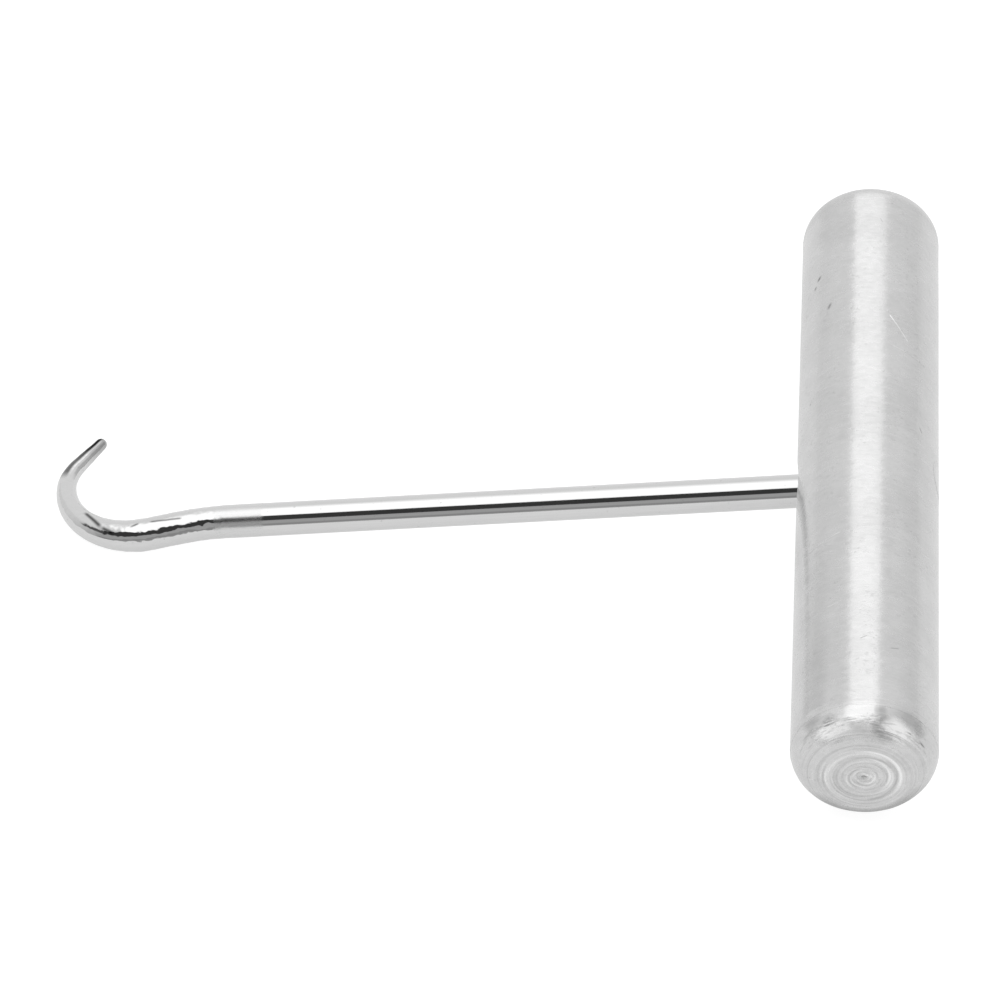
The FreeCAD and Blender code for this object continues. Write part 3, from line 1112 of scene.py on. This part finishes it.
# Soft-edged panels of the room, each laid over the ones before: brightness, azimuth, elevation,
# width, height, and softness across and up. Azimuth 0 is the camera's side (-Y), 90 is +X;
# angles are in degrees.
PANELS = (
    (1.62, 178, 84, 44, 62, 12, 30),
    (1.35, 60, 22, 50, 46, 8, 8),
    (0.60, 98, 6, 36, 60, 14, 14),
    (0.46, -16, 17, 84, 42, 6, 4),
    (0.34, -16, 10, 80, 12, 6, 6),
    (0.10, -66, 42, 44, 14, 10, 6),
    (0.05, -18, 53, 62, 30, 6, 3),
    (0.35, 48, 60, 30, 12, 6, 6),
)
# Lamps that light only the handle, or only its near end, and leave the rod alone:
# brightness, azimuth, elevation, width and height
HANDLE_LAMPS = ((0.30, 176, 38, 34, 50),)
END_LAMPS = (
    (0.80, -18, 60, 60, 30),
    (0.90, -48, 27, 42, 42),
    (0.15, -85, 44, 60, 40),
    (0.52, -4, 24, 36, 44),
)
LAMP_DISTANCE = 1.0


def direction(azimuth, elevation):
    """Unit vector: azimuth 0 is towards -Y, where the viewer stands, and 90 towards +X."""
    a, e = math.radians(azimuth), math.radians(elevation)
    return Vector((math.sin(a) * math.cos(e), -math.cos(a) * math.cos(e), math.sin(e)))


def lay_panel(tree, view, level, brightness, azimuth, elevation, wide, high, soft_wide, soft_high):
    """The room's level with one panel laid over it."""
    facing = direction(azimuth, elevation)
    right = Vector((0, 0, 1)).cross(facing).normalized()
    up = facing.cross(right)
    ahead = tree.vector("DOT_PRODUCT", view, facing)
    inside = tree.math("GREATER_THAN", ahead, 0.0)
    for axis, size, soft in ((right, wide, soft_wide), (up, high, soft_high)):
        side = tree.math("ABSOLUTE", tree.vector("DOT_PRODUCT", view, axis))
        turn = tree.math("ARCTAN2", side, ahead)
        outer = math.radians(size + soft) / 2
        inner = math.radians(size - soft) / 2
        inside = tree.times(inside, tree.range(turn, outer, inner))
    return tree.blend(level, brightness, inside)


def build_room():
    """Pale studio: panels of light round the tool, and pure white to the camera."""
    world = bpy.data.worlds.new("room")
    bpy.context.scene.world = world
    world.use_nodes = True
    tree = Tree(world.node_tree)
    view = tree.put("ShaderNodeTexCoord").outputs["Generated"]
    x, y, _ = tree.split(view)
    level = tree.range(y, *ROOM_BACK)
    level = tree.times(level, tree.range(x, *ROOM_RIGHT))
    level = tree.times(level, tree.range(x, *ROOM_LEFT))
    for panel in PANELS:
        level = lay_panel(tree, view, level, *panel)
    seen = tree.light_path("Is Camera Ray")
    shade = tree.put("ShaderNodeBackground", {"Color": tree.grey(tree.blend(level, 1.0, seen))})
    tree.put("ShaderNodeOutputWorld", {"Surface": shade.outputs["Background"]})


def build_lamps(name, lamps, pieces, middle):
    """Area lamps aimed at a point, which light only the given pieces."""
    lit = bpy.data.collections.new(f"{name}_lit")
    for piece in pieces:
        lit.objects.link(piece)
    for number, (brightness, azimuth, elevation, wide, high) in enumerate(lamps):
        light = bpy.data.lights.new(f"{name}_lamp_{number}", "AREA")
        light.shape = "RECTANGLE"
        light.size = 2 * LAMP_DISTANCE * math.tan(math.radians(wide) / 2)
        light.size_y = 2 * LAMP_DISTANCE * math.tan(math.radians(high) / 2)
        light.energy = brightness * math.pi * light.size * light.size_y
        lamp = bpy.data.objects.new(light.name, light)
        facing = direction(azimuth, elevation)
        turn = facing.to_track_quat("Z", "Y").to_matrix().to_4x4()
        lamp.matrix_world = Matrix.Translation(middle + facing * LAMP_DISTANCE) @ turn
        lamp.visible_camera = False
        lamp.light_linking.receiver_collection = lit
        bpy.context.scene.collection.objects.link(lamp)


def build_table():
    """White table under the tool, which the camera can't see the edges of."""
    mesh = bpy.data.meshes.new("table")
    half = TABLE_HALF
    corners = [(-half, -half, 0), (half, -half, 0), (half, half, 0), (-half, half, 0)]
    mesh.from_pydata(corners, [], [(0, 1, 2, 3)])
    mesh.materials.append(floor_material())
    table = bpy.data.objects.new("table", mesh)
    lean = Matrix.Rotation(TABLE_LEAN, 4, "Y")
    table.matrix_world = lean @ Matrix.Translation((0, 0, -HANDLE_R))
    bpy.context.scene.collection.objects.link(table)


def build_camera():
    """Camera aimed beside the tool's middle, and rolled."""
    back = direction(CAMERA_AZIMUTH, CAMERA_ELEVATION)
    azimuth = math.radians(CAMERA_AZIMUTH)
    level_right = Vector((math.cos(azimuth), math.sin(azimuth), 0))
    level_up = back.cross(level_right)
    right = level_right * math.cos(CAMERA_ROLL) - level_up * math.sin(CAMERA_ROLL)
    up = back.cross(right)
    low, high = cad_box
    place = (low + high) / 2 + AIM_OFFSET + back * CAMERA_DISTANCE
    data = bpy.data.cameras.new("camera")
    data.lens = CAMERA_LENS
    data.sensor_width = CAMERA_SENSOR
    data.clip_start = CAMERA_CLIP
    camera = bpy.data.objects.new("camera", data)
    camera.matrix_world = Matrix.Translation(place) @ Matrix((right, up, back)).transposed().to_4x4()
    bpy.context.scene.collection.objects.link(camera)
    bpy.context.scene.camera = camera


def build_studio(handle_pieces, near_end):
    """The room, the lamps, the table and the camera."""
    build_room()
    build_lamps("handle", HANDLE_LAMPS, handle_pieces, Vector((0, 0, 0)))
    build_lamps("near_end", END_LAMPS, near_end, Vector((0, -SEAM_Y, 0)))
    build_table()
    build_camera()
    view = bpy.context.scene.view_settings
    view.view_transform = "Standard"
    view.look = "None"


# Assembly
# --------

def main():
    """Build every piece and the studio round them."""
    handle_steel = satin_steel("handle_steel", SATIN_ROUGHNESS, MARKS)
    cap_steel = satin_steel("cap_steel", SATIN_ROUGHNESS)
    weld_steel = satin_steel("weld_steel", WELD_ROUGHNESS)
    rod_steel = polished_steel("rod_steel")
    handle = build_handle(handle_steel)
    near_cap = build_cap("near_cap", "near_end_cap", -1, cap_steel, seed=3, strength=1.0)
    far_cap = build_cap("far_cap", "far_end_cap", 1, cap_steel, seed=5, strength=0.25)
    near_seam = build_seam("near_seam", "near_seam_weld", -1, weld_steel, seed=11, strength=0.2)
    far_seam = build_seam("far_seam", "far_seam_weld", 1, weld_steel, seed=12, strength=0.15)
    build_rod(rod_steel)
    build_plug_weld(weld_steel)
    near_end = (near_cap, near_seam)
    build_studio((handle, far_cap, far_seam, *near_end), near_end)


main()
